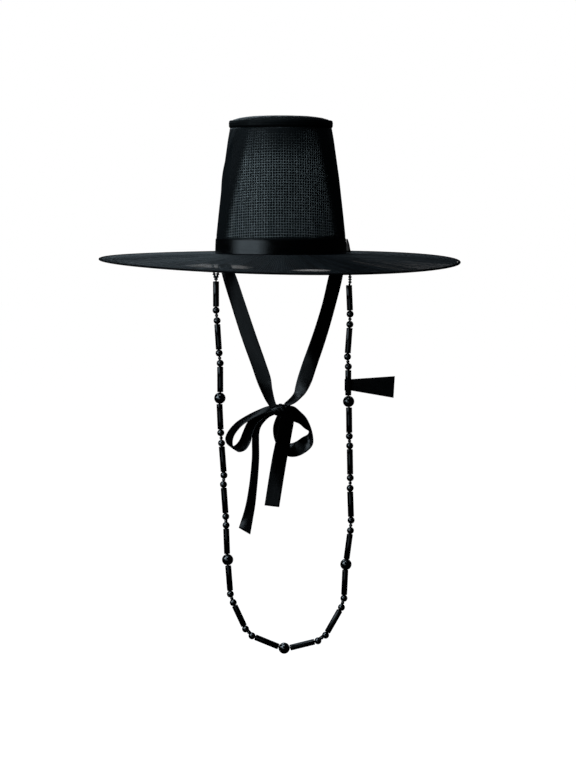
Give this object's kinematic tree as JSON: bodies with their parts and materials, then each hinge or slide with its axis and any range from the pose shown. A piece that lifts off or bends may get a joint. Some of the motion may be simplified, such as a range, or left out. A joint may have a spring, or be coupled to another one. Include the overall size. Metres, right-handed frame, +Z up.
{
  "type": "costume hat",
  "caption": "Black wide-brimmed gat-style costume hat with a tall net crown, sheer brim, chin ribbons tied in a bow and a long hanging string of beads.",
  "frame": {"origin": "centre of the head opening, in the plane where the crown meets the brim", "axes": "+Z up through the crown, -Y towards the front of the hat, +X towards the wearer's left"},
  "size_m": [0.4602, 0.4602, 0.6896],
  "materials": {
    "crown_net": "black nylon net of square mesh",
    "organza": "sheer black organza with a soft sheen",
    "binding": "black bias binding over wire",
    "satin": "black satin ribbon",
    "beads": "polished black plastic",
    "label": "woven black label tape"
  },
  "bodies": {
    "root": {"crown_net": "crown_net", "crown_side": "organza", "crown_top": "organza", "crown_lip": "binding", "hat_band": "satin", "band_end": "satin", "brim": "organza", "brim_edge": "binding", "chin_ribbon_left": "satin", "chin_ribbon_right": "satin", "bow_knot": "satin", "bow_loop_left": "satin", "bow_tail_left": "satin", "bow_loop_right": "satin", "bow_tail_right": "satin", "thread_loop_left": "binding", "thread_loop_right": "binding", "bead_string_left": "beads", "bead_string_right": "beads", "label_tab": "label"}
  },
  "joints": []
}
